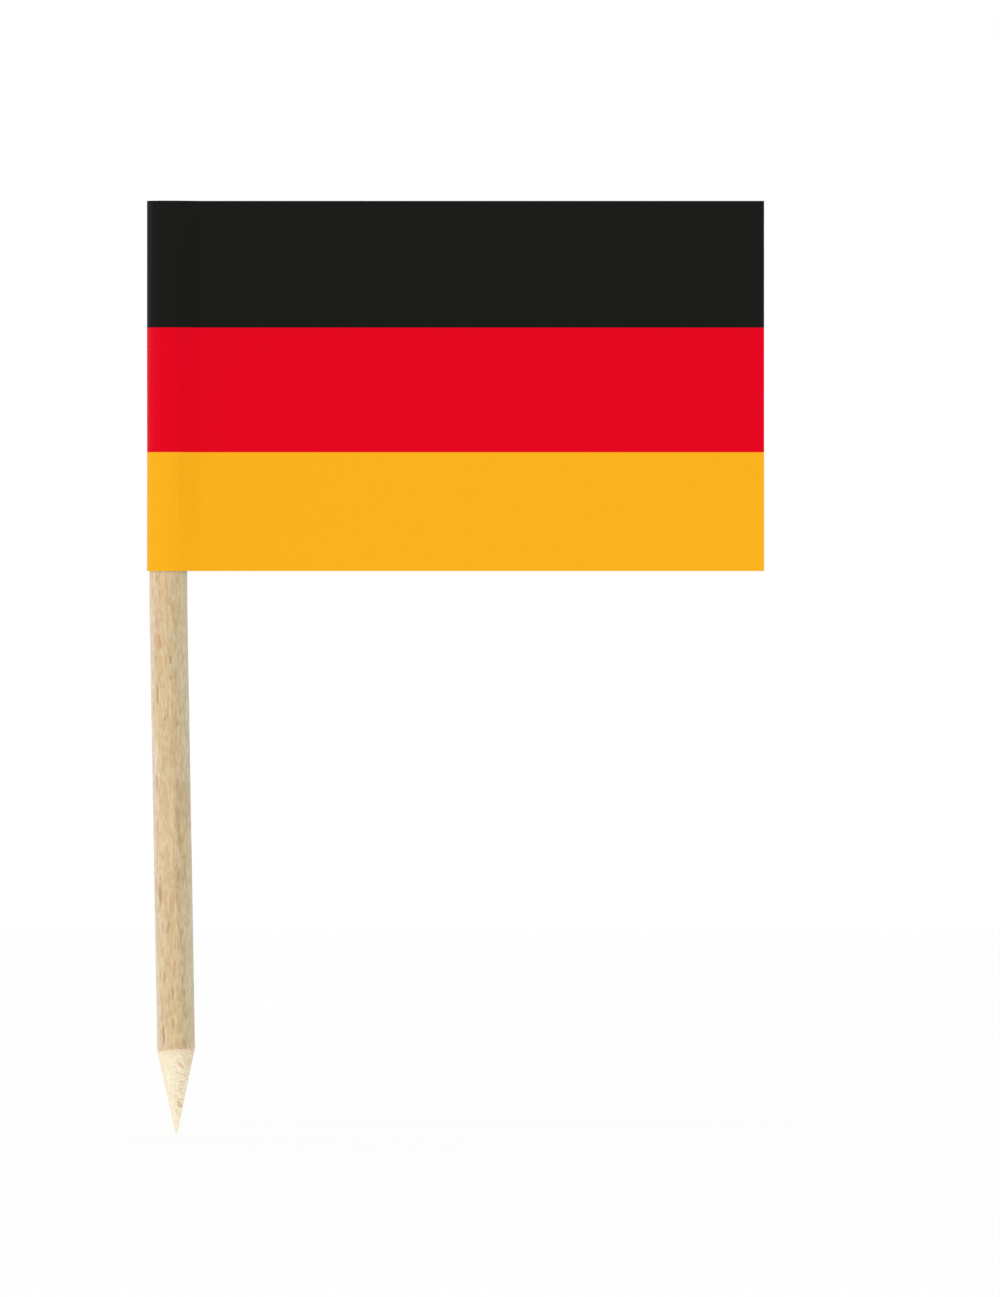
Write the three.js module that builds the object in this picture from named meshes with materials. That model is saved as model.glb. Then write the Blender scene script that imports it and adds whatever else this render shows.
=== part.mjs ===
// A flag pick: a round wooden pick with a cut point, and a small printed paper flag that is folded
// round the pick's upper end and glued to itself.
//
// Millimetres. +Z runs up the pick, +X runs from the pick to the flag's free edge, and -Y is the
// side that the flag's front leaf faces. The origin is the pick's tip.
import * as THREE from "three";

// Pick
const PICK_LENGTH = 64.7; // tip to sawn upper end
const PICK_DIAMETER = 2.65;
const POINT_LENGTH = 5.85; // cut cone, tip to shoulder
const TIP_DIAMETER = 0.16; // the point is left slightly blunt
const END_BEVEL = 0.1; // broken edge round the sawn end
const LEAN_DEGREES = 1; // the bare shaft leans this much towards the flag
const LEAN_RUN = 4; // length of shaft over which the lean sets in

// Flag
const FLAG_WIDTH = 43; // folded edge to free edge
const FLAG_HEIGHT = 25.8;
const FLAG_ABOVE_PICK = 0.3; // the paper stands this far above the sawn end
const BLACK_BAND = 8.83; // upper band
const RED_BAND = 8.69; // middle band; the gold band is the rest of the height

// Layers, from the pick outwards
const SEAT_CLEARANCE = 0.01; // between the wood and the adhesive
const ADHESIVE_THICKNESS = 0.02; // spread over the inside face of the sheet
const PAPER_THICKNESS = 0.1;
const PRINT_THICKNESS = 0.02; // ink and its clear varnish
const ADHESIVE_MARGIN = 0.4; // the adhesive stops this short of the sheet's cut edges

// Fold: each leaf leaves the pick at PINCH_ANGLE to the flag, and a curve lays it flat
const PINCH_ANGLE = THREE.MathUtils.degToRad(35);
const PINCH_RADIUS = 1.6; // of that curve, on the inside face of the adhesive

// Facets
const PICK_SIDES = 64;
const LEAN_STEPS = 8;
const HALF_LOOP_STEPS = 22;
const PINCH_STEPS = 6;

// Offsets of the layers' faces from the seat round the pick
const SEAT_RADIUS = PICK_DIAMETER / 2 + SEAT_CLEARANCE;
const ADHESIVE_FACE = ADHESIVE_THICKNESS;
const PAPER_FACE = ADHESIVE_FACE + PAPER_THICKNESS;
const PRINT_FACE = PAPER_FACE + PRINT_THICKNESS;

// Places along the pick and across the flag
const FLAG_TOP = PICK_LENGTH + FLAG_ABOVE_PICK;
const FLAG_BOTTOM = FLAG_TOP - FLAG_HEIGHT;
const RED_TOP = FLAG_TOP - BLACK_BAND;
const GOLD_TOP = RED_TOP - RED_BAND;
const FREE_EDGE = FLAG_WIDTH - SEAT_RADIUS - PRINT_FACE;

// The straight stretch between the loop round the pick and the curve that lays the leaf flat, and
// where along the flag that curve ends
const PINCH_RUN =
  ((SEAT_RADIUS + PINCH_RADIUS) * Math.cos(PINCH_ANGLE) - PINCH_RADIUS) / Math.sin(PINCH_ANGLE);
const PINCH_END =
  (SEAT_RADIUS + PINCH_RADIUS) * Math.sin(PINCH_ANGLE) + PINCH_RUN * Math.cos(PINCH_ANGLE);

const material = (color, roughness) =>
  new THREE.MeshStandardMaterial({ color, roughness, metalness: 0 });

const BEECH = material(0xdcc39b, 0.65);
const PAPER = material(0xf6f5f0, 0.85);
const ADHESIVE = material(0xece6d2, 0.4);
const BLACK_INK = material(0x1d1d1b, 0.5);
const RED_INK = material(0xe40321, 0.5);
const GOLD_INK = material(0xfab41e, 0.5);

function piece(name, geometry, look, height = 0) {
  const mesh = new THREE.Mesh(geometry, look);
  mesh.name = name;
  mesh.position.z = height;
  return mesh;
}

// How far the shaft's middle has moved towards the flag at a height z: not at all inside the flag,
// then along an arc, then in a straight line.
function leanAt(z) {
  const slope = Math.tan(THREE.MathUtils.degToRad(LEAN_DEGREES));
  const below = Math.max(0, FLAG_BOTTOM - z);
  const inArc = Math.min(below, LEAN_RUN);
  return slope * (inArc ** 2 / (2 * LEAN_RUN) + (below - inArc));
}

// The pick's outline is turned about its axis, with extra rings where the lean sets in, and each
// ring is then moved sideways by the lean.
function pickGeometry() {
  const radius = PICK_DIAMETER / 2;
  const leanRings = Array.from(
    { length: LEAN_STEPS + 1 },
    (_, i) => new THREE.Vector2(radius, FLAG_BOTTOM - LEAN_RUN * (1 - i / LEAN_STEPS)),
  );
  const outline = [
    new THREE.Vector2(0, 0),
    new THREE.Vector2(TIP_DIAMETER / 2, 0),
    new THREE.Vector2(radius, POINT_LENGTH),
    ...leanRings,
    new THREE.Vector2(radius, PICK_LENGTH - END_BEVEL),
    new THREE.Vector2(radius - END_BEVEL, PICK_LENGTH),
    new THREE.Vector2(0, PICK_LENGTH),
  ];
  const geometry = new THREE.LatheGeometry(outline, PICK_SIDES).rotateX(Math.PI / 2);
  const position = geometry.getAttribute("position");
  for (let i = 0; i < position.count; i++) {
    position.setX(i, position.getX(i) + leanAt(position.getZ(i)));
  }
  return geometry;
}

function arc(x, y, radius, start, end, steps) {
  return new THREE.EllipseCurve(x, y, radius, radius, start, end, start > end).getPoints(steps);
}

// The back half of a layer's face, seen from above: from the far side of the pick, round it, down
// the straight stretch and round the curve that lays the leaf flat. Every face is parallel to the
// seat at its own offset, so faces that meet share their points.
function backHalf(offset) {
  const leaving = Math.PI / 2 - PINCH_ANGLE;
  const laid = -Math.PI / 2;
  return [
    ...arc(0, 0, SEAT_RADIUS + offset, Math.PI, leaving, HALF_LOOP_STEPS),
    ...arc(
      PINCH_END,
      PINCH_RADIUS,
      PINCH_RADIUS - offset,
      laid - PINCH_ANGLE,
      laid,
      PINCH_STEPS,
    ),
  ];
}

// A whole face from the front leaf's free edge to the back leaf's.
function wrapLine(offset, freeEdge) {
  const back = [...backHalf(offset), new THREE.Vector2(freeEdge, offset)];
  const front = back.slice(1).reverse().map((p) => new THREE.Vector2(p.x, -p.y));
  return [...front, ...back];
}

// A folded layer between two faces, open at the free edge: the sheet or a coat of print.
function foldedLayer(inside, outside, height) {
  const outline = [...wrapLine(outside, FREE_EDGE), ...wrapLine(inside, FREE_EDGE).reverse()];
  return new THREE.ExtrudeGeometry(new THREE.Shape(outline), {
    depth: height,
    bevelEnabled: false,
  });
}

// The adhesive lines the sheet's inside face. Where the leaves lie flat its two coats are one film,
// so it closes off the drop-shaped space that holds the pick.
function adhesiveGeometry() {
  const outline = new THREE.Shape(wrapLine(ADHESIVE_FACE, FREE_EDGE - ADHESIVE_MARGIN));
  const back = backHalf(0); // it starts and ends on the flag's middle plane
  const front = back.slice(1, -1).reverse().map((p) => new THREE.Vector2(p.x, -p.y));
  outline.holes.push(new THREE.Path([...back, ...front].reverse())); // against the outline's turn
  return new THREE.ExtrudeGeometry(outline, {
    depth: FLAG_HEIGHT - 2 * ADHESIVE_MARGIN,
    bevelEnabled: false,
  });
}

function band(name, look, bottom, top) {
  return piece(name, foldedLayer(PAPER_FACE, PRINT_FACE, top - bottom), look, bottom);
}

// The pieces are placed about the upper shaft's axis, and then moved so that the tip is the origin.
const pieces = new THREE.Group();
pieces.position.x = -leanAt(0);
pieces.add(
  piece("pick", pickGeometry(), BEECH),
  piece("adhesive", adhesiveGeometry(), ADHESIVE, FLAG_BOTTOM + ADHESIVE_MARGIN),
  piece("flag_paper", foldedLayer(ADHESIVE_FACE, PAPER_FACE, FLAG_HEIGHT), PAPER, FLAG_BOTTOM),
  band("black_print", BLACK_INK, RED_TOP, FLAG_TOP),
  band("red_print", RED_INK, GOLD_TOP, RED_TOP),
  band("gold_print", GOLD_INK, FLAG_BOTTOM, GOLD_TOP),
);

const flagPick = new THREE.Group();
flagPick.name = "flag_pick";
flagPick.add(pieces);

export default flagPick;
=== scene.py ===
# The looks of a flag pick: a round beech pick with a cut point, and a small three-band paper flag
# that is folded round its upper end.
import math

import bmesh
import bpy
import numpy as np
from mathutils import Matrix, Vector


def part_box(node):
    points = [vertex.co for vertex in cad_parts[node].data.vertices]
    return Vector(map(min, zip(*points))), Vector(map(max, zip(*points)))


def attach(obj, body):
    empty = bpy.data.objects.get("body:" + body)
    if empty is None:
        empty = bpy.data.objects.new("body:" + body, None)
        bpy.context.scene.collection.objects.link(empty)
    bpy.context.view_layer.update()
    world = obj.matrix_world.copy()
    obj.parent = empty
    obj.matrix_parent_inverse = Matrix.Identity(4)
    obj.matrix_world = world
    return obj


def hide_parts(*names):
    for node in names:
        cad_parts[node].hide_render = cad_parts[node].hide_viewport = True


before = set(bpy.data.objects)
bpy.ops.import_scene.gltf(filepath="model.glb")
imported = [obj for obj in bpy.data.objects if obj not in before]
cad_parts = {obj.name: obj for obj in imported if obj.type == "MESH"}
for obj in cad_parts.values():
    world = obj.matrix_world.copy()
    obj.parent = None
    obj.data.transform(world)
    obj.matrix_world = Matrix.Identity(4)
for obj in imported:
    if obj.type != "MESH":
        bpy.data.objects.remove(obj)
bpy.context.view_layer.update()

# Shapes are worked out in millimetres in the frame's own axes, and make_piece() turns them into
# metres. +X runs from the pick to the flag's free edge, and -Y is the side the photograph shows.
MM = 0.001


def box_mm(node):
    """The lowest and highest corner of a CAD node, in millimetres."""
    return [np.array(corner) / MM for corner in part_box(node)]


# Places and layers, from the frame
PICK_HIGH = box_mm("pick")[1]
PAPER_LOW, PAPER_HIGH = box_mm("flag_paper")
GLUE_LOW, GLUE_HIGH = box_mm("adhesive")
PRINT_LOW, PRINT_HIGH = box_mm("red_print")
PICK_TOP = PICK_HIGH[2]
PICK_RADIUS = PICK_HIGH[1]
FLAG_BOTTOM, FLAG_TOP = PAPER_LOW[2], PAPER_HIGH[2]
FREE_EDGE = PAPER_HIGH[0]
GLUE_MARGIN = FLAG_TOP - GLUE_HIGH[2]
SEAT_CLEARANCE = 0.01  # between the wood and the adhesive
SEAT_RADIUS = PICK_RADIUS + SEAT_CLEARANCE  # where the adhesive begins
GLUE_FACE = GLUE_HIGH[1] - SEAT_RADIUS  # heights of the layers' faces above that seat
PAPER_FACE = PAPER_HIGH[1] - SEAT_RADIUS
PRINT_FACE = PRINT_HIGH[1] - SEAT_RADIUS
AXIS_X = GLUE_LOW[0] + GLUE_HIGH[1]  # of the pick's upper part, inside the flag

# Noise
RIPPLE_WAVES = 24  # this many plane waves add up to a ripple
RIPPLE_SPREAD = (0.7, 1.4)  # the least and greatest of their lengths, as shares of its size

# Pick
LEAN_RUN = 4.0  # length of shaft over which its slight lean sets in, below the flag
SHOULDER_HEIGHT = 5.85  # mean height of the line where the cut point meets the shaft
SHOULDER_TILT = 0.2  # that line is this much higher on the +X side
SHOULDER_WAVES = 0.022  # height of its slow waves
SHOULDER_TEETH = 0.018  # height of its fine teeth
WAVE_LENGTH, TOOTH_LENGTH = 0.7, 0.16  # of those two, in pick radii
SHOULDER_BLEND = 10  # the point takes on the shaft's relief there: a higher power is more sudden
RIM_WORN = 0.6  # how strongly the cut wood is darkened just below that line
RIM_BLEND = 3 * SHOULDER_BLEND  # how suddenly that sets in, as a power too
POINT_SKEW = 0.09  # the point is cut a little askew: its tip lies this much to the left
TIP_RADIUS = 0.075
END_BEVEL = 0.1
FIBRE_DEPTH = 0.012  # of the grooves along the shaft
FIBRE_DEEPEST = 1.2  # no groove is deeper than this many times that
BROAD_FIBRE, FINE_FIBRE = 0.34, 0.17  # widths of the grooves
FINE_SHARE = 0.6  # depth of the fine grooves beside the broad ones
FIBRE_STRETCH = 14  # the grooves are this much longer than wide
FLECK_DEPTH = 0.012
FLECK_WANDER = 0.03  # how far their outlines stray from a plain lens shape
WANDER_WIDTH, WANDER_STRETCH = 0.3, 5  # size of those strays across, and how drawn out they are
SAW_DEPTH = 0.012  # of the marks on the sawn end
SAW_PITCH = 0.21
SAW_SLANT = 0.3

# The cutter's marks on the point. It turns round the point, so they run round it askew.
CUT_DEPTH = 0.018
CUT_PITCH = 0.2  # from one mark to the next
CUT_WANDER, CUT_WANDER_SIZE = 0.8, 0.9  # by how much that strays, in radians, and over what length
CUT_SHARPNESS = 1.5  # a power that makes the marks narrower than plain waves
CUT_GROUND = 0.16  # share of the depth that the wood between them has
CUT_TUFT, TUFT_STRETCH = 0.17, 4  # size of the tufts that break them up, and how drawn out they are
CUT_SLANT = (0.0, 0.4)  # how steeply they run down to the right, low and high on the point
CUT_TURN = (3.2, 4.8)  # heights between which that changes
CUT_START, CUT_RISE = 1.2, 0.8  # they begin at this height, and are plain this much above it
CUT_SIDE = math.radians(-30)  # the cutter lifts the fibres most on this side of the point
CUT_ELSEWHERE = 0.15  # share of their depth that the marks keep on the other sides
CUT_SPREAD = 0.1  # how far they reach past a quarter turn from there, in the turn's cosine
TIP_FADE = 2.5  # below the shoulder's height over this, the marks fade out towards the tip
TORN_DEPTH = 0.035  # of the spots where the cutter tore the wood
TORN_SLANT = math.radians(33)  # they lean to the left by this much

# Fold
PINCH_ANGLE = math.radians(35)  # at which each leaf leaves the pick
PINCH_RADIUS = 1.6  # of the curve that lays it flat
BACK_SHORTER = 0.1  # the back leaf ends this much before the front one
CREASE_HEIGHT = 0.012  # of the faint upright creases where the paper is bent round the pick
CREASE_WIDTH, CREASE_STRETCH = 0.5, 30  # and how drawn out they are
CREASE_END = 0.72  # they end this far before the leaf lies flat
COCKLE_HEIGHT = 0.03  # of the flag's slow waves
COCKLE_LENGTH = 16.0
COCKLE_START = 9.0  # the waves come in over this length of leaf
COCKLE_WAVES = 9  # only so few make them up, so they stay calm
LEAVES_PART = 0.025  # the leaves' edges part by this much beyond the adhesive
PARTING_LENGTH = 5.0  # and that varies over this length
GLUE_WANDER = 0.12  # how far the adhesive's upper and lower edges wander
GLUE_WANDER_LENGTH = 2.5
MENISCUS = 0.12  # radius of the adhesive's hollow edge where it fills the pinch
PAPER_BEVEL = 0.012  # of the cut edges
PRINT_BEVEL = 0.005
BEVEL_FROM = math.radians(60)  # only edges that turn by more than this are bevelled

# Facets
PICK_COLUMNS = 192
TIP_ROWS = 3
CONE_ROWS = 180
SHAFT_ROWS = 250
HIDDEN_ROWS = 12
BEVEL_ROWS = 3
END_ROWS = 40
FLAT_MAP = "OFBake"  # the name of the pick's own flat map
LOOP_STEPS = 90
RUN_STEPS = 12
PINCH_STEPS = 30
FLAT_STEP = 0.9
EDGE_STEPS = (0.0, 0.03, 0.08, 0.18, 0.4)  # rows and columns close up towards a cut edge
SAME_PLACE = 1e-4  # points nearer to each other than this are one

# Ray flecks on the side that the photograph shows: how far across from the pick's middle,
# height above the tip, length, width and strength. The long, wide and faint ones are stretches
# of duller wood.
FLECKS = [
    (-0.76, 38.7, 0.45, 0.20, 0.70),
    (-0.85, 36.1, 2.20, 0.22, 0.40),
    (0.53, 35.6, 0.35, 0.26, 0.40),
    (-0.64, 34.3, 1.20, 0.22, 0.65),
    (-0.90, 33.1, 0.65, 0.22, 0.50),
    (0.10, 33.0, 0.75, 0.24, 1.00),
    (0.08, 31.8, 0.55, 0.30, 0.55),
    (-0.87, 30.7, 2.10, 0.19, 0.75),
    (-0.41, 31.2, 0.30, 0.40, 0.35),
    (-0.32, 28.9, 0.50, 0.30, 0.45),
    (0.52, 28.6, 0.50, 0.36, 0.60),
    (0.08, 26.6, 2.20, 0.32, 0.35),
    (-1.08, 24.4, 1.50, 0.19, 0.60),
    (0.46, 24.3, 1.20, 0.36, 0.60),
    (0.54, 23.4, 1.20, 0.50, 0.35),
    (0.98, 22.9, 5.60, 0.90, 0.30),
    (0.46, 22.3, 1.40, 0.40, 0.60),
    (0.48, 22.2, 5.50, 0.55, 0.25),
    (0.40, 21.4, 1.00, 0.42, 0.55),
    (-1.05, 21.4, 0.90, 0.20, 0.60),
    (0.50, 20.3, 1.70, 0.46, 0.65),
    (0.76, 19.3, 0.40, 0.50, 0.55),
    (0.17, 18.5, 0.35, 0.22, 0.80),
    (0.73, 18.2, 2.60, 0.55, 0.50),
    (-0.91, 17.0, 2.60, 0.20, 0.95),
    (0.40, 17.9, 1.10, 0.38, 0.60),
    (0.23, 16.5, 0.60, 0.26, 0.40),
    (-0.39, 14.4, 1.10, 0.26, 0.75),
    (0.54, 14.0, 0.80, 0.42, 0.50),
    (0.56, 12.9, 0.90, 0.34, 0.60),
    (-0.56, 11.8, 1.40, 0.30, 0.50),
    (-0.70, 10.9, 0.90, 0.22, 0.85),
    (0.59, 10.7, 0.70, 0.27, 0.65),
    (0.60, 9.8, 0.90, 0.30, 0.60),
    (-0.18, 9.9, 1.10, 0.26, 0.65),
    (0.59, 9.0, 0.60, 0.26, 0.40),
    (-0.12, 8.7, 1.40, 0.40, 0.40),
    (0.75, 8.3, 0.90, 0.46, 0.40),
    (-0.15, 7.7, 0.95, 0.26, 0.65),
    (-0.86, 6.8, 2.00, 0.25, 1.00),
    (0.58, 6.4, 0.80, 0.46, 0.65),
]

# Small flecks all round the pick: how many, and the least and most of each measure
STRAY_FLECKS = 130
STRAY_SEED = 7
STRAY_LENGTH = (0.3, 1.3)
STRAY_WIDTH = (0.07, 0.13)
STRAY_STRENGTH = (0.2, 0.6)

# Spots on the point where the cutter tore or dulled the wood, in the same form as the flecks
TORN_SPOTS = [
    (0.75, 5.20, 1.40, 0.90, 0.28),
    (0.03, 5.10, 0.30, 0.20, 0.50),
    (0.31, 4.80, 0.85, 0.22, 0.75),
    (-0.11, 4.65, 0.20, 0.17, 0.70),
    (0.64, 4.10, 0.50, 0.30, 0.40),
    (0.29, 3.60, 0.50, 0.20, 0.45),
    (0.33, 3.05, 0.50, 0.22, 0.45),
    (-0.06, 2.65, 0.32, 0.24, 0.35),
    (0.23, 2.06, 0.80, 0.44, 0.80),
    (0.02, 1.57, 0.22, 0.16, 0.40),
    (0.16, 1.40, 0.80, 0.36, 0.30),
]

# How such a mark fades in
MARK_RISE = 1.1  # how steeply from its long sides
MARK_END_RISE = 2.0  # how steeply from its pointed ends
MARK_BLUNT = 0.05  # least width of those ends, as a share of the mark's
FRONT_FADE = (-0.2, 0.05)  # the chosen ones fade out between these, in radii behind the axis

# Photograph
PHOTO_WIDTH = 1000
PHOTO_HEIGHT = 1297
FLAG_LEFT_PX = 147.15
FLAG_RIGHT_PX = 764.1
FLAG_TOP_PX = 200.9
LENS = 800.0  # a very long lens, because the photograph shows the flag without perspective
CLIP_REACH = 100  # the camera sees what is up to this many times nearer or further

# Light, where 1 is the level at which a colour renders as it is written
ROOM_LEVEL = 0.842
LAMP_SPREAD = math.radians(50)  # how wide each lamp looks from the object
FLOOR_SIZE = 3.0  # in metres
FLOOR_WHITE = 0.98  # how much light the floor gives back
FLOOR_SHOWS = 0.4  # share of the floor's white that a shadow can darken


def srgb(red, green, blue):
    """A colour as it is read off a screen, from 0 to 255, as the shaders take it."""
    parts = [v / 255 for v in (red, green, blue)]
    linear = [v / 12.92 if v <= 0.04045 else ((v + 0.055) / 1.055) ** 2.4 for v in parts]
    return (*linear, 1.0)


# Colours. A list holds the stops of a ramp: the value at which a colour is plain, and the colour.
WHITE = srgb(255, 255, 255)
# The bands across the shaft are partly growth bands and partly painted light. Painted light makes
# the left side paler, up to a pale rim at its very edge, and painted shade makes the right side
# duller and greyer.
BANDS_AND_PAINTED_SIDE_LIGHT = [  # across the shaft, from 0 on its left side to 1 on its right side
    (0.00, srgb(247, 238, 219)),
    (0.10, srgb(242, 227, 201)),
    (0.22, srgb(238, 217, 181)),
    (0.38, srgb(232, 211, 171)),
    (0.51, srgb(230, 210, 171)),
    (0.60, srgb(217, 201, 165)),
    (0.72, srgb(214, 199, 164)),
    (0.80, srgb(214, 203, 170)),
    (0.88, srgb(216, 208, 178)),
    (1.00, srgb(213, 211, 190)),
]
PINK_WOOD = srgb(231, 196, 167)
STRAW_WOOD = srgb(236, 216, 170)
BROWN_WOOD = srgb(198, 166, 124)
CLUMP_SHADE = srgb(238, 230, 220)
FIBRE_SHADE = srgb(240, 236, 230)
THREAD_SHADE = srgb(245, 241, 235)
RAY_FLECK = srgb(174, 136, 96)
SHAFT_PORE = srgb(160, 126, 90)
CUT_CREAMS = [
    (0.35, srgb(253, 241, 214)),
    (0.50, srgb(254, 246, 216)),
    (0.62, srgb(254, 250, 220)),
]
# The point's right side: partly the greyer wood of the shaft's right side, partly painted shade on
# the side away from the lamps.
CUT_GREY_AND_SHADE = srgb(224, 212, 186)
CUT_PINK = srgb(250, 224, 196)
CUT_SHADE = srgb(246, 241, 233)
CUT_SCRAPED = srgb(200, 174, 140)
CUT_TORN = srgb(218, 184, 152)
YEAR_RING = [(0.35, srgb(198, 167, 125)), (0.65, srgb(216, 189, 147))]
END_RAY = srgb(229, 206, 168)
END_PORE = srgb(140, 108, 74)
PAPER_WHITES = [(0.3, srgb(238, 236, 228)), (0.65, srgb(247, 246, 241))]
GLUE_TONES = [(0.3, srgb(226, 216, 190)), (0.7, srgb(240, 234, 216))]
INKS = {  # each ink, and its colour where it is thin
    "black": (srgb(24, 24, 22), srgb(39, 39, 37)),
    "red": (srgb(228, 0, 29), srgb(231, 12, 40)),
    "gold": (srgb(250, 179, 25), srgb(250, 187, 54)),
}


def smooth(value):
    """From 0 to 1 with a soft start and end."""
    value = np.clip(value, 0, 1)
    return value * value * (3 - 2 * value)


def wave(place, length, phase=0.0):
    """A wave between 0 and 1, of the given length."""
    return 0.5 + 0.5 * np.cos(2 * math.pi * place / length + phase)


def ripple(places, size, seed, waves=RIPPLE_WAVES):
    """Seeded smooth noise of about unit height: a sum of plane waves of about the given size."""
    draw = np.random.default_rng(seed)
    total = np.zeros(len(places))
    for _ in range(waves):
        way = draw.normal(size=3)
        way *= 2 * math.pi / (size * draw.uniform(*RIPPLE_SPREAD) * np.linalg.norm(way))
        total += np.sin(places @ way + draw.uniform(0, 2 * math.pi))
    return total / math.sqrt(waves / 2)


def held(waves, middle, swing, least=0.0):
    """Waves about a middle value, held between the least value and 1."""
    return np.clip(middle + swing * waves, least, 1)


def steps_to(start, end, count):
    """Equal steps from a start, which is left out, to an end."""
    return np.linspace(start, end, count + 1)[1:]


def turned_from(angle, start):
    """How far an angle is turned from another one, from minus to plus half a turn."""
    return (angle - start + math.pi) % (2 * math.pi) - math.pi


def make_piece(name, places, faces, looks, node):
    """A mesh object from points in millimetres, which stands for a CAD node."""
    mesh = bpy.data.meshes.new(name)
    mesh.from_pydata((np.asarray(places) * MM).tolist(), [], faces)
    mesh.shade_smooth()
    for look in looks:
        mesh.materials.append(look)
    piece = bpy.data.objects.new(name, mesh)
    bpy.context.scene.collection.objects.link(piece)
    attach(piece, "root")
    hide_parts(node)
    return piece


def band_faces(rows, columns, closed):
    """Quads between neighbouring rows of points."""
    faces = []
    across = columns if closed else columns - 1
    for r in range(rows - 1):
        for c in range(across):
            a, b = r * columns + c, r * columns + (c + 1) % columns
            faces.append((a, b, b + columns, a + columns))
    return faces


# The pick


def pick_middle(height):
    """Where the pick's axis lies at a height: upright inside the flag, then leaning, and a little
    askew in the point."""
    slope = -AXIS_X / (FLAG_BOTTOM - LEAN_RUN / 2)
    below = np.maximum(0, FLAG_BOTTOM - height)
    in_arc = np.minimum(below, LEAN_RUN)
    askew = POINT_SKEW * np.maximum(0, 1 - height / SHOULDER_HEIGHT)
    return AXIS_X + slope * (in_arc**2 / (2 * LEAN_RUN) + below - in_arc) - askew


def lens_mark(across, along):
    """A mark with pointed ends: 1 in its middle and 0 from its outline on, where the outline is
    at 1 across in the middle and at 1 along at the ends."""
    half = np.clip(1 - along**2, MARK_BLUNT, 1)
    from_sides = smooth(MARK_RISE * (1 - (across / half) ** 2))
    return from_sides * smooth(MARK_END_RISE * (1 - np.abs(along)))


def chosen_marks(x, y, height, marks, slant=0.0):
    """How strongly each place on the front lies in one of the marks, from 0 to 1."""
    facing = smooth((FRONT_FADE[1] - y / PICK_RADIUS) / np.ptp(FRONT_FADE))
    depth = np.zeros_like(x)
    for middle, level, length, width, strength in marks:
        over, up = x - middle, height - level
        across = over * math.cos(slant) + up * math.sin(slant)
        along = up * math.cos(slant) - over * math.sin(slant)
        mark = lens_mark(across / (width / 2), along / (length / 2))
        depth = np.maximum(depth, strength * mark * facing)
    return depth


def stray_flecks(angle, height):
    """The small ray flecks all round the pick, in the same way."""
    draw = np.random.default_rng(STRAY_SEED)
    depth = np.zeros_like(angle)
    for _ in range(STRAY_FLECKS):
        middle = draw.uniform(0, 2 * math.pi)
        level = draw.uniform(SHOULDER_HEIGHT, PICK_TOP)
        length, width = draw.uniform(*STRAY_LENGTH), draw.uniform(*STRAY_WIDTH)
        across = PICK_RADIUS * turned_from(angle, middle)
        mark = lens_mark(across / (width / 2), (height - level) / (length / 2))
        depth = np.maximum(depth, draw.uniform(*STRAY_STRENGTH) * mark)
    return depth


def cutter_marks(angle, radius, height):
    """How deeply the cutter has scraped the point, from 0 to 1. Its marks are plain only on the
    side where it lifts the fibres."""
    place = np.column_stack([radius * np.cos(angle), radius * np.sin(angle), height])
    turned = turned_from(angle, CUT_SIDE)
    slant = CUT_SLANT[0] + np.ptp(CUT_SLANT) * smooth((height - CUT_TURN[0]) / np.ptp(CUT_TURN))
    along = radius * turned
    across = height + slant * along
    chatter = wave(across, CUT_PITCH, CUT_WANDER * ripple(place, CUT_WANDER_SIZE, seed=21))
    tufts = ripple(np.column_stack([along / TUFT_STRETCH, across, 0 * across]), CUT_TUFT, seed=22)
    marks = chatter**CUT_SHARPNESS * held(tufts, middle=0.5, swing=0.7)
    facing = smooth(CUT_SPREAD + (1 - CUT_SPREAD) * np.cos(turned))
    lifted = CUT_ELSEWHERE + (1 - CUT_ELSEWHERE) * facing
    lifted *= smooth((height - CUT_START) / CUT_RISE)
    return lifted * (CUT_GROUND + (1 - CUT_GROUND) * marks)


def fibre_grooves(x, y, height):
    """How deep the grooves along the shaft are, as a share of FIBRE_DEPTH. They are drawn out
    along the grain, so the noise is read with the height pressed together."""
    grain_place = np.column_stack([x, y, height / FIBRE_STRETCH])
    broad = np.abs(ripple(grain_place, BROAD_FIBRE, seed=11))
    fine = np.abs(ripple(grain_place, FINE_FIBRE, seed=12))
    return np.minimum((broad + FINE_SHARE * fine) / 2, FIBRE_DEEPEST)


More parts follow.
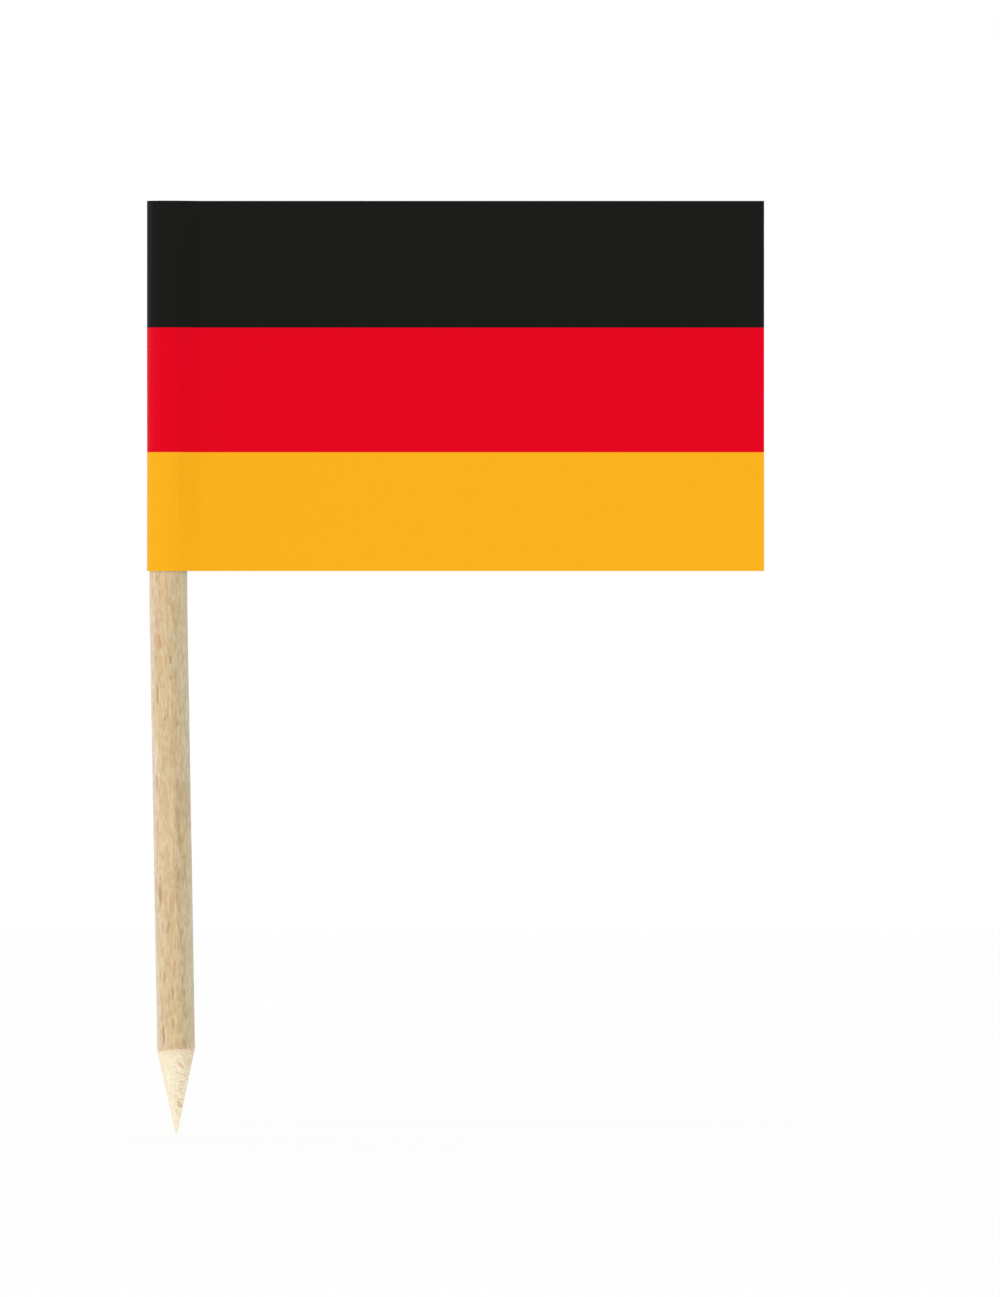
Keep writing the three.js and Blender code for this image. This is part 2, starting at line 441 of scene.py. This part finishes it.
def pick_rows(angle):
    """Rows of points from the tip to near the middle of the sawn end, each with a radius and a
    height at every angle, and the numbers of the rows where the shaft and the end begin."""
    ring = np.column_stack([np.cos(angle), np.sin(angle), 0 * angle])
    waves = SHOULDER_WAVES * ripple(ring, WAVE_LENGTH, seed=3)
    teeth = SHOULDER_TEETH * ripple(ring, TOOTH_LENGTH, seed=4)
    shoulder = SHOULDER_HEIGHT + SHOULDER_TILT / 2 * np.cos(angle) + (waves + teeth)
    level = 0 * angle  # the same height all round
    rows = []
    for turn in steps_to(0, math.pi / 2, TIP_ROWS):
        rows.append((TIP_RADIUS * math.sin(turn), TIP_RADIUS * (1 - math.cos(turn)) + level))
    for share in steps_to(0, 1, CONE_ROWS):
        radius = TIP_RADIUS + (PICK_RADIUS - TIP_RADIUS) * share
        rows.append((radius, TIP_RADIUS + (shoulder - TIP_RADIUS) * share))
    shaft_row = len(rows) - 1
    for share in steps_to(0, 1, SHAFT_ROWS):
        rows.append((PICK_RADIUS, shoulder + (FLAG_BOTTOM - shoulder) * share))
    straight_top = PICK_TOP - END_BEVEL
    for height in steps_to(FLAG_BOTTOM, straight_top, HIDDEN_ROWS):
        rows.append((PICK_RADIUS, height + level))
    for turn in steps_to(0, math.pi / 2, BEVEL_ROWS):
        radius = PICK_RADIUS - END_BEVEL * (1 - math.cos(turn))
        rows.append((radius, straight_top + END_BEVEL * math.sin(turn) + level))
    end_row = len(rows) - 1
    for radius in steps_to(PICK_RADIUS - END_BEVEL, 0, END_ROWS)[:-1]:
        rows.append((radius, PICK_TOP + level))
    return rows, shaft_row, end_row


def pick_faces(rows):
    """Faces over the pick's rows, and fans round the last two points, which close the tip and the
    sawn end."""
    faces = band_faces(rows, PICK_COLUMNS, closed=True)
    tip = rows * PICK_COLUMNS
    crown, last_row = tip + 1, tip - PICK_COLUMNS
    for i in range(PICK_COLUMNS):
        after = (i + 1) % PICK_COLUMNS
        faces.append((tip, after, i))
        faces.append((crown, last_row + i, last_row + after))
    return faces


def build_pick():
    """The wooden pick: a shaft with fibre grooves and ray flecks, a cut point and a sawn end."""
    turns = np.linspace(0, 2 * math.pi, PICK_COLUMNS, endpoint=False)
    rows, shaft_row, end_row = pick_rows(turns)
    row = np.repeat(np.arange(len(rows)), PICK_COLUMNS)
    angle = np.tile(turns, len(rows))
    radius = np.repeat([r for r, _ in rows], PICK_COLUMNS)
    height = np.concatenate([h for _, h in rows])
    x, y = radius * np.cos(angle), radius * np.sin(angle)
    on_point, on_end = row < shaft_row, row > end_row

    wander_place = np.column_stack([x, y, height / WANDER_STRETCH])
    strayed = x + FLECK_WANDER * ripple(wander_place, WANDER_WIDTH, seed=13)
    fleck = np.maximum(chosen_marks(strayed, y, height, FLECKS), stray_flecks(angle, height))
    torn = chosen_marks(strayed, y, height, TORN_SPOTS, slant=TORN_SLANT)
    scraped = cutter_marks(angle, radius, height)
    share = np.clip(height / SHOULDER_HEIGHT, 0, 1)
    shaft_cut = FIBRE_DEPTH * fibre_grooves(x, y, height) + FLECK_DEPTH * fleck
    point_cut = (CUT_DEPTH * scraped + TORN_DEPTH * torn) * smooth(TIP_FADE * share)
    point_cut += (shaft_cut - point_cut) * share**SHOULDER_BLEND
    radius -= np.where(on_point, point_cut, np.where(on_end, 0, shaft_cut))
    height -= np.where(on_end, SAW_DEPTH * wave(x + SAW_SLANT * y, SAW_PITCH), 0)

    across = pick_middle(height) + radius * np.cos(angle)
    places = np.column_stack([across, radius * np.sin(angle), height])
    tip, crown = (pick_middle(0.0), 0, 0), (AXIS_X, 0, PICK_TOP - SAW_DEPTH / 2)
    places = np.vstack([places, tip, crown])
    looks = (shaft_look(), cut_look(), end_look())
    piece = make_piece("beech_pick", places, pick_faces(len(rows)), looks, "pick")
    worn = np.maximum(torn, RIM_WORN * share**RIM_BLEND)
    store(piece, "fleck", np.append(fleck * ~on_end, [0, 0]))
    store(piece, "scraped", np.append(scraped * on_point, [0, 0]))
    store(piece, "torn", np.append(worn * on_point, [0, 0]))
    divide_woods(piece.data, len(rows), shaft_row, end_row)
    unroll(piece.data, len(rows))
    return piece


def store(piece, name, values):
    """Keeps one number for each vertex, which a material can read."""
    attribute = piece.data.attributes.new(name, "FLOAT", "POINT")
    attribute.data.foreach_set("value", np.asarray(values, np.float32))


def divide_woods(mesh, rows, shaft_row, end_row):
    """Gives the shaft, the point and the sawn end their own look, the first, second and third of
    the mesh's materials, with a sharp line between."""
    sides = PICK_COLUMNS * (rows - 1)
    for number, face in enumerate(mesh.polygons):
        on_point = number < PICK_COLUMNS * shaft_row
        on_end = PICK_COLUMNS * end_row <= number < sides
        if number >= sides:  # the fans that close the tip and the end, in turn
            on_point = (number - sides) % 2 == 0
            on_end = not on_point
        face.material_index = 1 if on_point else 2 if on_end else 0
    for edge in mesh.edges:
        a, b = (v // PICK_COLUMNS for v in edge.vertices)
        edge.use_edge_sharp = a == b and a in (shaft_row, end_row)


def unroll(mesh, rows):
    """Lays the pick's surface out flat: round the pick across, and from row to row upwards, with
    the tip and the middle of the sawn end as its lower and upper edges."""
    turn = np.arange(PICK_COLUMNS)
    across = [np.stack([turn, turn + 1, turn + 1, turn], 1).ravel()] * (rows - 1)
    upward = [np.tile([row, row, row + 1, row + 1], PICK_COLUMNS) for row in range(rows - 1)]
    half = turn + 0.5
    across.append(np.stack([half, turn + 1, turn, half, turn, turn + 1], 1).ravel())
    upward.append(np.tile([-1, 0, 0, rows, rows - 1, rows - 1], PICK_COLUMNS))
    across = np.concatenate(across) / PICK_COLUMNS
    upward = (np.concatenate(upward) + 1) / (rows + 1)
    flat = np.column_stack([across, upward]).astype(np.float32)
    mesh.uv_layers.new(name=FLAT_MAP).uv.foreach_set("vector", flat.ravel())


# The folded flag


def half_fold(free_edge):
    """The back half of the fold as the adhesive's inner face runs, from the far side of the pick
    to a free edge: places and outward directions seen from above, from the pick's axis. The last
    value is where the leaf begins to lie flat."""
    leaving = math.pi / 2 - PINCH_ANGLE
    start = SEAT_RADIUS * np.array([math.cos(leaving), math.sin(leaving)])
    across = SEAT_RADIUS + PINCH_RADIUS
    run = (across * math.cos(PINCH_ANGLE) - PINCH_RADIUS) / math.sin(PINCH_ANGLE)
    reach = across * math.sin(PINCH_ANGLE) + run * math.cos(PINCH_ANGLE)
    places, ways = [], []
    for turn in np.linspace(math.pi, leaving, LOOP_STEPS):
        ways.append((math.cos(turn), math.sin(turn)))
        places.append(SEAT_RADIUS * np.array(ways[-1]))
    straight = ways[-1]
    for far in steps_to(0, run, RUN_STEPS)[:-1]:
        ways.append(straight)
        places.append(start + far * np.array([straight[1], -straight[0]]))
    for turn in np.linspace(leaving, math.pi / 2, PINCH_STEPS):
        ways.append((math.cos(turn), math.sin(turn)))
        places.append(np.array([reach, PINCH_RADIUS]) - PINCH_RADIUS * np.array(ways[-1]))
    end = free_edge - AXIS_X
    inner = np.linspace(reach, end - EDGE_STEPS[-1], int((end - reach) / FLAT_STEP))[1:-1]
    for x in [*inner, *(end - step for step in reversed(EDGE_STEPS))]:
        ways.append((0.0, 1.0))
        places.append(np.array([x, 0.0]))
    return np.array(places), np.array(ways), reach


def whole_fold():
    """The whole fold in the same form, from the front leaf's free edge to the back leaf's."""
    front, front_ways, reach = half_fold(FREE_EDGE)
    back, back_ways, _ = half_fold(FREE_EDGE - BACK_SHORTER)
    mirror = np.array([1, -1])
    places = np.vstack([front[:0:-1] * mirror, back])
    ways = np.vstack([front_ways[:0:-1] * mirror, back_ways])
    return places, ways, reach


def row_heights(bottom, top):
    """Heights of a layer's rows of points, close together at its cut edges."""
    low, high = bottom + EDGE_STEPS[-1], top - EDGE_STEPS[-1]
    inner = np.linspace(low, high, max(3, int((high - low) / FLAT_STEP)))[1:-1]
    from_top = [top - step for step in reversed(EDGE_STEPS)]
    return np.array([*(bottom + step for step in EDGE_STEPS), *inner, *from_top])


def layer_points(offset, fold, heights):
    """A layer's face at an offset from the seat, with the flag's faint creases and waves, which
    every layer shares."""
    places, ways, reach = fold
    place = np.tile(places, (len(heights), 1))
    way = np.tile(ways, (len(heights), 1))
    z = np.repeat(heights, len(places))
    bent = smooth(reach - CREASE_END - place[:, 0])
    turned = SEAT_RADIUS * np.arctan2(way[:, 1], -way[:, 0])
    crease_place = np.column_stack([turned, 0 * z, z / CREASE_STRETCH])
    creases = held(ripple(crease_place, CREASE_WIDTH, seed=31), middle=0.5, swing=0.5)
    spot = place + way * (offset + CREASE_HEIGHT * bent * creases)[:, None]
    x = AXIS_X + spot[:, 0]
    flat = np.column_stack([x, 0 * z, z])
    cockle = COCKLE_HEIGHT * smooth((place[:, 0] - reach) / COCKLE_START)
    cockle *= ripple(flat, COCKLE_LENGTH, seed=32, waves=COCKLE_WAVES)
    past_glue = GLUE_MARGIN + np.max([x - FREE_EDGE, z - FLAG_TOP, FLAG_BOTTOM - z], axis=0)
    part = LEAVES_PART * smooth(past_glue / GLUE_MARGIN) * smooth(place[:, 0] - reach)
    part *= held(ripple(flat, PARTING_LENGTH, seed=33), middle=0.6, swing=0.4, least=0.1)
    return np.column_stack([x, spot[:, 1] + cockle + part * np.sign(way[:, 1]), z])


def layer_faces(rows, columns):
    """A closed skin over the outer face's points and then the inner face's, on the same grid."""
    inside = rows * columns
    grid = band_faces(rows, columns, closed=False)
    faces = [face[::-1] for face in grid]
    faces += [tuple(v + inside for v in face) for face in grid]
    top = (rows - 1) * columns
    for c in range(columns - 1):
        faces.append((c, c + 1, inside + c + 1, inside + c))
        faces.append((top + c + 1, top + c, inside + top + c, inside + top + c + 1))
    for r in range(rows - 1):
        low, high = r * columns, (r + 1) * columns
        faces.append((high, low, inside + low, inside + high))
        low, high = low + columns - 1, high + columns - 1
        faces.append((low, high, inside + high, inside + low))
    return faces


def round_edges(piece, width):
    """Takes the sharpness off a layer's cut edges."""
    rounded = piece.modifiers.new("cut_edges", "BEVEL")
    rounded.width = width * MM
    rounded.segments = 2
    rounded.angle_limit = BEVEL_FROM


def build_layer(name, node, look, inside, outside, bevel):
    """One folded layer of the flag between two offsets: the sheet or a coat of print."""
    low, high = box_mm(node)
    heights = row_heights(low[2], high[2])
    fold = whole_fold()
    points = [layer_points(offset, fold, heights) for offset in (outside, inside)]
    faces = layer_faces(len(heights), len(fold[0]))
    piece = make_piece(name, np.vstack(points), faces, [look], node)
    round_edges(piece, bevel)
    return piece


def glue_profile(place):
    """How far the adhesive's inner face lies from the middle plane: as far as the sheet's round
    the pick, and then on a hollow half round in the corner of the pinch. The second value is the
    number of columns that line the open space."""
    in_corner = (place[:, 0] > SEAT_RADIUS) & (place[:, 1] < MENISCUS)
    corner = place[in_corner, 0].min()
    hollow = np.clip(1 - ((place[:, 0] - corner) / MENISCUS) ** 2, 0, 1)
    open_to = np.where(in_corner, MENISCUS * np.sqrt(hollow), place[:, 1])
    walls = int(np.argmax(in_corner & (open_to == 0)))
    return np.minimum(open_to, place[:, 1]), walls


def build_glue():
    """The adhesive: a coat on the sheet round the pick, and one film where the leaves meet. It
    fills the corner of the pinch, and its edge there is a hollow half round."""
    fold = half_fold(GLUE_HIGH[0])
    place, _, reach = fold
    low, high = GLUE_LOW[2], GLUE_HIGH[2]
    heights = row_heights(low, high)
    rows, columns = len(heights), len(place)
    profile, walls = glue_profile(place)
    outer = layer_points(GLUE_FACE, fold, heights)
    inner = layer_points(0.0, fold, heights)
    flag_waves = inner[:, 1] * np.tile(place[:, 0] > reach, rows)
    inner[:, 1] += np.tile(profile - place[:, 1], rows)
    share = (outer[:, 2] - low) / (high - low)
    edge_place = np.column_stack([outer[:, 0], share, share])
    wander = GLUE_WANDER * ripple(edge_place, GLUE_WANDER_LENGTH, seed=41)
    for points in (outer, inner):
        points[:, 2] += wander * (2 * share - 1)
    grid = layer_faces(rows, columns)
    skin = [face for face in grid if not lies_in_film(face, rows, columns, walls)]

    # The front half mirrors the back one, but the flag's waves move both the same way.
    mirrored = np.vstack([outer, inner]) * np.array([1, -1, 1])
    mirrored[:, 1] += np.tile(2 * flag_waves, 2)
    points = np.vstack([outer, inner, mirrored])
    half = 2 * rows * columns
    faces = skin + [tuple(v + half for v in face[::-1]) for face in skin]
    piece = make_piece("glue_film", points, faces, [glue_look()], "adhesive")
    join_halves(piece.data)
    return piece


def lies_in_film(face, rows, columns, walls):
    """Whether a face of the adhesive's half would lie inside the film or close the far side."""
    inside = rows * columns
    inner = [v for v in face if v >= inside]
    past = len(inner) == 4 and min((v - inside) % columns for v in inner) >= walls
    far_side = len({v % columns for v in face}) == 1 and face[0] % columns == 0
    return past or far_side


def join_halves(mesh):
    """Welds the points that the two halves share on the middle plane."""
    shape = bmesh.new()
    shape.from_mesh(mesh)
    bmesh.ops.remove_doubles(shape, verts=shape.verts, dist=SAME_PLACE * MM)
    shape.to_mesh(mesh)
    shape.free()


# Looks


def new_look(name):
    """A material, its node tree and its surface shader."""
    look = bpy.data.materials.new(name)
    look.use_nodes = True
    return look, look.node_tree, look.node_tree.nodes["Principled BSDF"]


def add(tree, kind, inputs=(), **settings):
    """One node with its settings. An input is a value or another node's output."""
    node = tree.nodes.new(kind)
    for name, value in settings.items():
        setattr(node, name, value)
    for name, value in dict(inputs).items():
        feed(tree, node.inputs[name], value)
    return node


def feed(tree, socket, value):
    """Links another node's output to a socket, or sets the socket to a value."""
    if isinstance(value, bpy.types.NodeSocket):
        tree.links.new(value, socket)
    else:
        socket.default_value = value


def dress(tree, surface, colour, roughness, gloss, relief=None):
    """Gives a surface shader its colour, roughness, strength of gloss and small relief."""
    feed(tree, surface.inputs["Base Color"], colour)
    feed(tree, surface.inputs["Roughness"], roughness)
    feed(tree, surface.inputs["Specular IOR Level"], gloss)
    if relief is not None:
        feed(tree, surface.inputs["Normal"], relief)


def place_mm(tree, size, shift=0.0):
    """The place on the piece, counted in steps of the given size in millimetres."""
    place = add(tree, "ShaderNodeTexCoord").outputs["Object"]
    scale = [1 / (MM * step) for step in size]
    moved = add(tree, "ShaderNodeMapping", {"Vector": place, "Scale": scale})
    moved.inputs["Location"].default_value = (shift, 2 * shift, 3 * shift)
    return moved.outputs["Vector"]


def noise(tree, size, detail=2.0, shift=0.0):
    """Noise from 0 to 1 with grains of the given size along X, Y and Z, in millimetres. Every
    noise on a piece has a shift of its own, so that no two have their grains in the same places."""
    inputs = {"Vector": place_mm(tree, size, shift), "Scale": 1.0, "Detail": detail}
    return add(tree, "ShaderNodeTexNoise", inputs).outputs["Fac"]


def grain(tree, thick, long, detail, shift=0.0):
    """Noise with grains that run up the pick, of the given size in millimetres."""
    return noise(tree, (thick, thick, long), detail, shift)


def stretch(tree, value, low, high, to_low=0.0, to_high=1.0):
    """A value taken from one range to another, and held within it."""
    inputs = {"Value": value, "From Min": low, "From Max": high}
    inputs |= {"To Min": to_low, "To Max": to_high}
    return add(tree, "ShaderNodeMapRange", inputs).outputs["Result"]


def patches(tree, value, low, high, most):
    """How much of another colour shows: none up to the low value, the most from the high one on."""
    return stretch(tree, value, low, high, 0.0, most)


# A mix node's sockets for numbers, vectors and colours share their names, so they go by number.
MIX_INPUTS = (0, 6, 7)  # the share, the first colour and the second
MIX_OUTPUT = 2


def mix(tree, share, first, second, way="MIX"):
    """The first colour, or as much of the second as share says."""
    node = add(tree, "ShaderNodeMix", data_type="RGBA", blend_type=way)
    for socket, value in zip(MIX_INPUTS, (share, first, second)):
        feed(tree, node.inputs[socket], value)
    return node.outputs[MIX_OUTPUT]


def maths(tree, operation, first, second):
    """A sum, product or the like of two numbers."""
    node = add(tree, "ShaderNodeMath", operation=operation)
    feed(tree, node.inputs[0], first)
    feed(tree, node.inputs[1], second)
    return node.outputs["Value"]


def times(tree, first, second):
    """The product of two numbers."""
    return maths(tree, "MULTIPLY", first, second)


def ramp(tree, value, stops):
    """A colour that follows a value, through stops of (value, colour)."""
    node = add(tree, "ShaderNodeValToRGB", {"Fac": value})
    elements = node.color_ramp.elements
    while len(elements) < len(stops):
        elements.new(1.0)
    for element, (place, colour) in zip(elements, stops):
        element.position = place
        element.color = colour
    return node.outputs["Color"]


def shaded(tree, colour, value, low, high, shade):
    """A colour under a shade, which is full up to the low value and gone from the high one on."""
    return mix(tree, 1.0, colour, ramp(tree, value, [(low, shade), (high, WHITE)]), "MULTIPLY")


def bump(tree, height, depth, normal=None):
    """Small relief of the given depth in millimetres."""
    inputs = {"Height": height, "Distance": depth * MM, "Strength": 1.0}
    if normal is not None:
        inputs["Normal"] = normal
    return add(tree, "ShaderNodeBump", inputs).outputs["Normal"]


def kept(tree, name):
    """A number that store() kept on the piece."""
    return add(tree, "ShaderNodeAttribute", attribute_name=name).outputs["Fac"]


def across_pick(tree):
    """From 0 on the pick's left side to 1 on its right side, measured from its leaning axis."""
    place = add(tree, "ShaderNodeTexCoord").outputs["Object"]
    parts = add(tree, "ShaderNodeSeparateXYZ", {"Vector": place}).outputs
    leaning = (FLAG_BOTTOM - LEAN_RUN / 2) * MM
    drift = stretch(tree, parts["Z"], 0.0, leaning, to_low=-AXIS_X * MM, to_high=0.0)
    x = maths(tree, "SUBTRACT", parts["X"], drift)
    return stretch(tree, x, (AXIS_X - PICK_RADIUS) * MM, (AXIS_X + PICK_RADIUS) * MM)


def shaft_look():
    """Turned beech: growth bands across the pick, with painted light on its left side and painted
    shade on its right side, fibres and brown streaks along it, ray flecks.
    """
    look, tree, surface = new_look("beech_shaft")
    across = across_pick(tree)
    wander = grain(tree, 1.5, 5.0, detail=2.0)
    wander = stretch(tree, wander, 0.3, 0.7, to_low=-0.07, to_high=0.07)
    # Painted light and shade over the growth bands: paler towards the left side, duller towards the
    # right side.
    wood = ramp(tree, maths(tree, "ADD", across, wander), BANDS_AND_PAINTED_SIDE_LIGHT)

    # The warm colours lie in the left half, short of its very edge, and only faintly beyond it. That
    # edge keeps the bands' painted pale rim of light.
    left_half = stretch(tree, across, 0.55, 0.64, to_low=1.0, to_high=0.3)
    off_painted_rim = stretch(tree, across, 0.0, 0.14, to_low=0.2, to_high=1.0)
    warm = times(tree, left_half, off_painted_rim)
    pink = patches(tree, grain(tree, 0.32, 2.6, detail=1.0, shift=5.0), 0.50, 0.68, most=0.6)
    wood = mix(tree, times(tree, pink, warm), wood, PINK_WOOD)
    straw = patches(tree, grain(tree, 0.30, 2.0, detail=1.0, shift=9.0), 0.50, 0.66, most=0.6)
    wood = mix(tree, times(tree, straw, warm), wood, STRAW_WOOD)

    clump = grain(tree, 0.20, 0.6, detail=2.0, shift=17.0)
    wood = shaded(tree, wood, clump, 0.32, 0.62, CLUMP_SHADE)
    fibre = grain(tree, 0.10, 1.8, detail=3.0, shift=2.0)
    wood = shaded(tree, wood, fibre, 0.32, 0.66, FIBRE_SHADE)
    thread = grain(tree, 0.035, 0.9, detail=2.0, shift=31.0)
    wood = shaded(tree, wood, thread, 0.36, 0.56, THREAD_SHADE)

    streak = patches(tree, grain(tree, 0.24, 2.4, detail=1.0, shift=13.0), 0.57, 0.72, most=0.45)
    wood = mix(tree, times(tree, streak, warm), wood, BROWN_WOOD)
    broken = grain(tree, 0.09, 0.5, detail=2.0, shift=27.0)
    broken = stretch(tree, broken, 0.35, 0.6, to_low=0.5, to_high=0.9)
    wood = mix(tree, times(tree, kept(tree, "fleck"), broken), wood, RAY_FLECK)
    pore = patches(tree, grain(tree, 0.04, 0.45, detail=1.0, shift=21.0), 0.64, 0.74, most=0.4)
    wood = mix(tree, pore, wood, SHAFT_PORE)
    roughness = stretch(tree, fibre, 0.3, 0.7, to_low=0.72, to_high=0.55)
    relief = bump(tree, pore, depth=-0.004, normal=bump(tree, fibre, depth=0.006))
    dress(tree, surface, wood, roughness, gloss=0.25, relief=relief)
    return look


def cut_look():
    """Freshly cut beech on the point: paler, with greyer scrapes where the cutter lifted it, and its
    right side duller, partly greyer wood and partly painted shade.
    """
    look, tree, surface = new_look("beech_cut")
    wood = ramp(tree, grain(tree, 0.5, 0.8, detail=2.0, shift=3.0), CUT_CREAMS)
    # Painted shade with greyer wood: the point turns duller towards its right side.
    wood = mix(tree, patches(tree, across_pick(tree), 0.62, 0.95, most=0.45), wood, CUT_GREY_AND_SHADE)
    pink = patches(tree, grain(tree, 0.16, 1.3, detail=1.0, shift=7.0), 0.50, 0.66, most=0.42)
    wood = mix(tree, pink, wood, CUT_PINK)
    fibre = grain(tree, 0.09, 0.6, detail=3.0, shift=6.0)
    wood = shaded(tree, wood, fibre, 0.3, 0.58, CUT_SHADE)
    wood = mix(tree, patches(tree, kept(tree, "scraped"), 0.0, 1.0, most=0.6), wood, CUT_SCRAPED)
    wood = mix(tree, kept(tree, "torn"), wood, CUT_TORN)
    relief = bump(tree, fibre, depth=0.008)
    dress(tree, surface, wood, roughness=0.75, gloss=0.2, relief=relief)
    return look


def end_look():
    """Sawn end grain: darker, with a year ring, broad pale rays across it and many fine pores."""
    look, tree, surface = new_look("beech_end")
    wood = ramp(tree, noise(tree, (0.5, 3.0, 1.0), detail=1.0, shift=4.0), YEAR_RING)
    rays = noise(tree, (2.4, 0.10, 1.0), detail=1.0, shift=8.0)
    wood = mix(tree, patches(tree, rays, 0.56, 0.68, most=0.55), wood, END_RAY)
    inputs = {"Vector": place_mm(tree, (0.06, 0.06, 1.0)), "Scale": 1.0}
    cells = add(tree, "ShaderNodeTexVoronoi", inputs).outputs["Distance"]
    fewer = noise(tree, (0.2, 0.2, 1.0), detail=1.0, shift=15.0)
    fewer = stretch(tree, fewer, 0.4, 0.6, to_low=0.15, to_high=0.6)
    in_middle = stretch(tree, cells, 0.34, 0.16)
    pore = times(tree, in_middle, fewer)
    wood = mix(tree, pore, wood, END_PORE)
    relief = bump(tree, pore, depth=-0.01)
    dress(tree, surface, wood, roughness=0.85, gloss=0.15, relief=relief)
    return look


def paper_fibres(tree):
    """The felt of a paper's fibres, which also shows through its print."""
    return noise(tree, (0.10, 0.10, 0.10), detail=4.0, shift=1.0)


def paper_look():
    """White wood-free paper."""
    look, tree, surface = new_look("white_paper")
    fibre = paper_fibres(tree)
    paper = ramp(tree, fibre, PAPER_WHITES)
    relief = bump(tree, fibre, depth=0.006)
    dress(tree, surface, paper, roughness=0.9, gloss=0.2, relief=relief)
    return look


def ink_look(name, colour, worn):
    """A coat of ink on paper: even, with a trace of mottle and of the fibres under it."""
    look, tree, surface = new_look(name)
    fibre = paper_fibres(tree)
    mottle = noise(tree, (1.0, 1.0, 1.0), detail=3.0, shift=11.0)
    ink = mix(tree, patches(tree, mottle, 0.35, 0.65, most=0.05), colour, worn)
    ink = mix(tree, patches(tree, fibre, 0.62, 0.8, most=0.15), ink, worn)
    roughness = stretch(tree, fibre, 0.3, 0.7, to_low=0.50, to_high=0.62)
    relief = bump(tree, fibre, depth=0.002)
    dress(tree, surface, ink, roughness, gloss=0.04, relief=relief)
    return look


def glue_look():
    """Dried adhesive: milky and slightly glossy."""
    look, tree, surface = new_look("dried_glue")
    cloud = noise(tree, (0.6, 0.6, 0.6), detail=2.0)
    glue = ramp(tree, cloud, GLUE_TONES)
    relief = bump(tree, cloud, depth=0.02)
    dress(tree, surface, glue, roughness=0.3, gloss=0.5, relief=relief)
    return look


# The stage


def seen_directly(tree):
    """1 for the rays that show the background: the camera's, and those in gloss and glass."""
    rays = add(tree, "ShaderNodeLightPath").outputs
    seen = maths(tree, "MAXIMUM", rays["Is Camera Ray"], rays["Is Glossy Ray"])
    return maths(tree, "MAXIMUM", seen, rays["Is Transmission Ray"])


def floor_look():
    """A matt white that shows its own light and shadow only in part, and is plain white besides."""
    look, tree, surface = new_look("white_floor")
    white = (FLOOR_WHITE, FLOOR_WHITE, FLOOR_WHITE, 1)
    dress(tree, surface, white, roughness=0.9, gloss=0)
    plain = add(tree, "ShaderNodeEmission", {"Color": WHITE, "Strength": 1.0})
    share = times(tree, seen_directly(tree), 1 - FLOOR_SHOWS)
    shown = add(tree, "ShaderNodeMixShader", {"Fac": share})
    feed(tree, shown.inputs[1], surface.outputs["BSDF"])
    feed(tree, shown.inputs[2], plain.outputs["Emission"])
    feed(tree, tree.nodes["Material Output"].inputs["Surface"], shown.outputs["Shader"])
    return look


def lay_floor():
    """A plain white floor that the tip stands on. It keeps the object's shadow."""
    half = FLOOR_SIZE / 2
    mesh = bpy.data.meshes.new("floor")
    corners = [(-half, -half, 0), (half, -half, 0), (half, half, 0), (-half, half, 0)]
    mesh.from_pydata(corners, [], [(0, 1, 2, 3)])
    mesh.materials.append(floor_look())
    floor = bpy.data.objects.new("floor", mesh)
    bpy.context.scene.collection.objects.link(floor)


def light_room():
    """Even light from all round, which is seen as white, and three soft lamps."""
    world = bpy.data.worlds.new("room")
    world.use_nodes = True
    bpy.context.scene.world = world
    tree = world.node_tree
    background = tree.nodes["Background"].inputs
    level = stretch(tree, seen_directly(tree), 0.0, 1.0, to_low=ROOM_LEVEL, to_high=1.0)
    feed(tree, background["Color"], WHITE)
    feed(tree, background["Strength"], level)
    hang_lamp("key", azimuth=-12, elevation=38, level=0.12)
    hang_lamp("rim", azimuth=-100, elevation=12, level=0.07)
    hang_lamp("back", azimuth=168, elevation=38, level=0.12)


def hang_lamp(name, azimuth, elevation, level):
    """A broad, far lamp. Azimuth 0 is in front of the flag pick, and 90 is on its +X side. The
    level is what it adds on a surface that faces it."""
    lamp = bpy.data.lights.new(name, "SUN")
    lamp.angle = LAMP_SPREAD
    lamp.energy = level * math.pi
    light = bpy.data.objects.new(name, lamp)
    turn, rise = math.radians(azimuth), math.radians(elevation)
    way = Vector((math.sin(turn) * math.cos(rise), -math.cos(turn) * math.cos(rise), math.sin(rise)))
    light.rotation_euler = way.to_track_quat("Z", "Y").to_euler()
    bpy.context.scene.collection.objects.link(light)


def place_camera():
    """Frames the object as the photograph does, from straight in front."""
    px = (FREE_EDGE - PRINT_LOW[0]) / (FLAG_RIGHT_PX - FLAG_LEFT_PX)
    middle_x = PRINT_LOW[0] + (PHOTO_WIDTH / 2 - FLAG_LEFT_PX) * px
    middle_z = FLAG_TOP - (PHOTO_HEIGHT / 2 - FLAG_TOP_PX) * px
    view = bpy.data.cameras.new("camera")
    view.lens = LENS
    far = PHOTO_HEIGHT * px * LENS / view.sensor_width
    view.clip_start = far / CLIP_REACH * MM
    view.clip_end = far * CLIP_REACH * MM
    camera = bpy.data.objects.new("camera", view)
    camera.location = Vector((middle_x, -far, middle_z)) * MM
    camera.rotation_euler = (math.pi / 2, 0, 0)
    bpy.context.scene.collection.objects.link(camera)
    bpy.context.scene.camera = camera
    bpy.context.scene.view_settings.view_transform = "Standard"


build_pick()
build_glue()
build_layer("folded_sheet", "flag_paper", paper_look(), GLUE_FACE, PAPER_FACE, PAPER_BEVEL)
for ink, (colour, worn) in INKS.items():
    look = ink_look(f"{ink}_ink", colour, worn)
    coat = f"{ink}_print"
    build_layer(f"{ink}_band", coat, look, PAPER_FACE, PRINT_FACE, PRINT_BEVEL)
lay_floor()
light_room()
place_camera()
